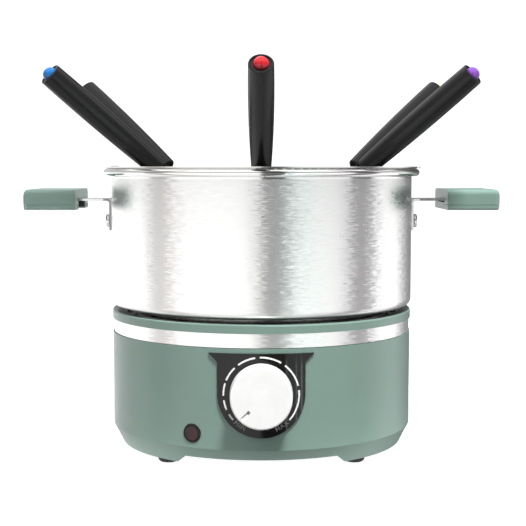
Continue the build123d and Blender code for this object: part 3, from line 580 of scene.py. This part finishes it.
def dash_mesh(name, start, end):
    """One printed dash: a thin curved strip, a film's thickness proud of the panel."""
    bm = bmesh.new()
    half = DIAL_STROKE / 2
    steps = max(8, int((end - start) / 1.5))
    rim = []
    for i in range(steps + 1):
        rim.append(dial_point(DIAL_R + half, start + (end - start) * i / steps))
    for i in range(steps + 1):
        rim.append(dial_point(DIAL_R - half, end + (start - end) * i / steps))
    top = [bm.verts.new(on_panel(u, v)) for u, v in rim]
    low = [bm.verts.new(on_panel(u, v, -PRINT_HEIGHT)) for u, v in rim]
    count = len(rim)
    for i in range(steps):
        bm.faces.new((top[i], top[i + 1], top[count - 2 - i], top[count - 1 - i]))
        bm.faces.new((low[count - 1 - i], low[count - 2 - i], low[i + 1], low[i]))
    for i in range(count):
        j = (i + 1) % count
        bm.faces.new((top[j], top[i], low[i], low[j]))
    bmesh.ops.recalc_face_normals(bm, faces=bm.faces)
    mesh = bpy.data.meshes.new(name)
    bm.to_mesh(mesh)
    bm.free()
    return mesh


for number, (dash_start, dash_end) in enumerate(DIAL_DASHES, start=1):
    dash_name = f"dial_dash_{number}"
    dash = add_mesh(dash_name, dash_mesh(dash_name, dash_start, dash_end), "ink", "base")


def label(name, text, centre_angle, size):
    """A word printed along the dial circle."""
    curve = bpy.data.curves.new(name, "FONT")
    curve.body = text
    curve.size = size
    curve.align_x = "CENTER"
    curve.align_y = "CENTER"
    curve.space_character = LETTER_GAP
    curve.offset = LETTER_WEIGHT
    holder = bpy.data.objects.new(name + "_outline", curve)
    bpy.context.scene.collection.objects.link(holder)
    bpy.context.view_layer.update()
    mesh = bpy.data.meshes.new_from_object(holder)
    bpy.data.objects.remove(holder)
    bm = bmesh.new()
    bm.from_mesh(mesh)
    bmesh.ops.remove_doubles(bm, verts=bm.verts, dist=1e-6)
    bmesh.ops.triangulate(bm, faces=bm.faces)
    shell = bmesh.ops.extrude_face_region(bm, geom=bm.faces[:])
    raised = {v for v in shell["geom"] if isinstance(v, bmesh.types.BMVert)}
    upright = 90.0 < centre_angle % 360.0 < 270.0
    for vert in bm.verts:
        along, up = vert.co.x, vert.co.y
        if upright:
            turn = centre_angle + math.degrees(along / DIAL_R)
            u, v = dial_point(DIAL_R + up, turn)
        else:
            turn = centre_angle - math.degrees(along / DIAL_R)
            u, v = dial_point(DIAL_R - up, turn)
        vert.co = on_panel(u, v, PRINT_HEIGHT if vert in raised else -PRINT_HEIGHT)
    bmesh.ops.recalc_face_normals(bm, faces=bm.faces)
    bm.to_mesh(mesh)
    bm.free()
    obj = add_mesh(name, mesh, "ink_grey", "base")


label("label_min", "MIN", 34.6, 0.0037)
label("label_max", "MAX", 327.0, 0.0034)


# ================================================================ studio
def stage_object(name, bm, *seen_by):
    """A piece of studio from mesh code, seen only by the named kinds of ray."""
    mesh = bpy.data.meshes.new(name)
    bm.to_mesh(mesh)
    bm.free()
    obj = bpy.data.objects.new(name, mesh)
    bpy.context.scene.collection.objects.link(obj)
    for kind in ("camera", "diffuse", "glossy", "transmission", "volume_scatter", "shadow"):
        setattr(obj, "visible_" + kind, kind in seen_by)
    return obj


def wall(bm, radius, low, high, count=96):
    """An upright round wall; gives back its lower and upper rings."""
    rings = []
    for z in (low, high):
        ring = []
        for i in range(count):
            a = 2 * math.pi * i / count
            ring.append(bm.verts.new((radius * math.sin(a), -radius * math.cos(a), z)))
        rings.append(ring)
    for i in range(count):
        j = (i + 1) % count
        bm.faces.new((rings[0][i], rings[0][j], rings[1][j], rings[1][i]))
    return rings


def ground():
    """A pale sweep: a floor and, far behind it, a plain pale wall that only the camera sees."""
    bm = bmesh.new()
    bmesh.ops.create_grid(bm, x_segments=8, y_segments=8, size=6.0)
    floor = stage_object("studio_floor", bm, "camera")
    f = Finish("studio_floor")
    tone = f.noise(f.coords, 3.0, 2.0)
    f.feed("Base Color", f.ramp(tone, (0.2, (0.40, 0.40, 0.40)), (0.8, (0.42, 0.42, 0.42))))
    f.set(Roughness=0.8, Specular_IOR_Level=0.1)
    f.set(Emission_Color=(1.0, 1.0, 1.0, 1.0), Emission_Strength=0.97)
    floor.data.materials.append(f.material)

    bm = bmesh.new()
    wall(bm, 5.8, -0.05, 7.0)
    sweep = stage_object("studio_sweep", bm, "camera")
    f = Finish("studio_sweep")
    f.set(Emission_Color=(1.0, 1.0, 1.0, 1.0), Emission_Strength=1.0)
    sweep.data.materials.append(f.material)


# the reflected panels and flags are not quite neutral
PLAIN = (1.0, 1.0, 1.0)
WARM = (1.03, 0.99, 0.98)
GREENISH = (0.92, 1.01, 0.985)
VIOLET = (1.01, 0.98, 1.01)
# the tent by azimuth in degrees from the front, + to the right: brightness and tint
TENT = (
    # behind the object
    (-180, 0.95, PLAIN),
    (-150, 1.15, PLAIN),
    (-98, 1.20, PLAIN),
    (-90, 1.05, PLAIN),
    # a flag far to the left
    (-85, 0.55, WARM),
    (-72, 0.55, WARM),
    # the long left panel
    (-66, 1.10, WARM),
    (-58, 1.20, PLAIN),
    (-12, 1.20, PLAIN),
    (-1, 1.10, PLAIN),
    # the gap round the camera
    (1, 0.14, PLAIN),
    (16, 0.14, PLAIN),
    # the right panel
    (18, 0.80, GREENISH),
    (28, 1.04, GREENISH),
    (50, 1.03, PLAIN),
    (64, 0.97, VIOLET),
    # a flag far to the right
    (69, 0.25, VIOLET),
    (84, 0.20, VIOLET),
    # the rear right panel
    (91, 1.00, VIOLET),
    (98, 1.20, PLAIN),
    (119, 1.15, PLAIN),
    # a dark corner behind
    (127, 0.60, VIOLET),
    (138, 0.20, VIOLET),
    (158, 0.15, PLAIN),
    (170, 0.60, PLAIN),
    (180, 0.95, PLAIN),
)
# thin bright slits between the right panels, low down
TENT_STRIPS = ((17.3, 17.7), (24.2, 24.6), (27.9, 28.5))
TENT_STRIP_LEVEL, TENT_STRIP_TOP = 5.5, -0.10
TENT_R = 1.1
TENT_LOW, TENT_HIGH = -0.8, 1.8
TENT_STRENGTH = 1.36
# and by height: a pale table, a grey room above the horizon, bright panels overhead
TENT_RISE = (
    (-0.80, 0.70),
    (-0.45, 0.75),
    (-0.20, 1.00),
    (0.13, 1.00),
    (0.20, 0.45),
    (0.65, 0.35),
    (0.95, 1.00),
    (1.80, 1.00),
)


def tent():
    """A drum of soft panels and flags round the object. Only gloss sees it."""
    bm = bmesh.new()
    low, high = wall(bm, TENT_R, TENT_LOW, TENT_HIGH)
    bm.faces.new(low)
    bm.faces.new(high)
    obj = stage_object("studio_tent", bm, "glossy")
    f = Finish("studio_tent")
    x, y, z = f.place()
    turn = f.math("ARCTAN2", x, f.math("MULTIPLY", y, -1.0))
    fac = f.math("ADD", f.math("DIVIDE", turn, 2 * math.pi), 0.5)
    bands = [((a + 180) / 360, tuple(v * t for t in tint)) for a, v, tint in TENT]
    sides = f.ramp(fac, *bands)
    for start, end in TENT_STRIPS:
        upright = f.gate(turn, math.radians(start), math.radians(end))
        strip = f.math("MULTIPLY", upright, f.gate(z, TENT_LOW, TENT_STRIP_TOP))
        sides = f.mixed(strip, sides, (TENT_STRIP_LEVEL,) * 3)
    height = f.math("DIVIDE", f.math("SUBTRACT", z, TENT_LOW), TENT_HIGH - TENT_LOW)
    stops = [((h - TENT_LOW) / (TENT_HIGH - TENT_LOW), (v, v, v)) for h, v in TENT_RISE]
    glow = f.ramp(height, *stops)
    cap = f.mixed(f.gate(z, TENT_HIGH - 0.01, 9.0), sides, (1.0, 1.0, 1.0))
    emission = f.tree.nodes.new("ShaderNodeEmission")
    f.link(cap, emission.inputs["Color"])
    f.link(f.math("MULTIPLY", f.level(glow), TENT_STRENGTH), emission.inputs["Strength"])
    f.link(emission.outputs[0], f.tree.nodes["Material Output"].inputs["Surface"])
    obj.data.materials.append(f.material)


SKY = 0.30
BELOW = 0.17
HORIZON_BLEND = 0.25


def surround():
    """Soft light from all round, weaker from below."""
    world = bpy.data.worlds.new("studio")
    world.use_nodes = True
    tree = world.node_tree
    coords = tree.nodes.new("ShaderNodeTexCoord")
    split = tree.nodes.new("ShaderNodeSeparateXYZ")
    tree.links.new(coords.outputs["Generated"], split.inputs[0])
    rise = tree.nodes.new("ShaderNodeMapRange")
    rise.inputs["From Min"].default_value = -HORIZON_BLEND
    rise.inputs["From Max"].default_value = HORIZON_BLEND
    rise.inputs["To Min"].default_value = BELOW
    rise.inputs["To Max"].default_value = SKY
    tree.links.new(split.outputs[2], rise.inputs["Value"])
    tree.links.new(rise.outputs["Result"], tree.nodes["Background"].inputs["Strength"])
    tree.nodes["Background"].inputs["Color"].default_value = (1.0, 1.0, 1.0, 1.0)
    bpy.context.scene.world = world


def softbox(name, place, target, size, power):
    """A soft panel light that reflections don't show."""
    light = bpy.data.lights.new(name, "AREA")
    light.shape = "RECTANGLE"
    light.size, light.size_y = size
    light.energy = power
    obj = bpy.data.objects.new(name, light)
    obj.location = place
    obj.rotation_euler = (Vector(target) - Vector(place)).to_track_quat("-Z", "Y").to_euler()
    obj.visible_camera = False
    obj.visible_glossy = False
    bpy.context.scene.collection.objects.link(obj)
    return light


def studio():
    ground()
    tent()
    surround()
    middle = (0.0, 0.0, 0.08)
    softbox("key", (0.22, -0.66, 1.26), middle, (0.22, 0.22), 31.5)
    softbox("overhead", (0.0, 0.10, 1.3), middle, (1.2, 1.2), 4.0)
    softbox("left_box", (-1.0, -0.25, 0.40), middle, (0.4, 0.9), 4.0)
    softbox("right_box", (1.0, -0.25, 0.40), middle, (0.4, 0.9), 2.6)
    left_grip = (-0.122, -0.02, 0.150)
    grip_spot = softbox("grip_spot", (-0.50, -0.75, 0.16), left_grip, (0.06, 0.06), 0.0068)
    grip_spot.spread = math.radians(6.0)
    straight_up = (0.015, 0.0, 1.0)
    softbox("bounce_card", (0.015, 0.0, -0.004), straight_up, (0.20, 0.20), 0.17)



def camera():
    data = bpy.data.cameras.new("camera")
    data.lens = CAMERA_LENS
    data.sensor_width = SENSOR_WIDTH
    data.clip_start = 0.01
    data.clip_end = 50.0
    obj = bpy.data.objects.new("camera", data)
    obj.location = CAMERA_PLACE
    obj.rotation_euler = (math.radians(90) - CAMERA_PITCH_DOWN, 0.0, 0.0)
    bpy.context.scene.collection.objects.link(obj)
    bpy.context.scene.camera = obj


camera()
studio()
bpy.context.scene.view_settings.view_transform = "Standard"
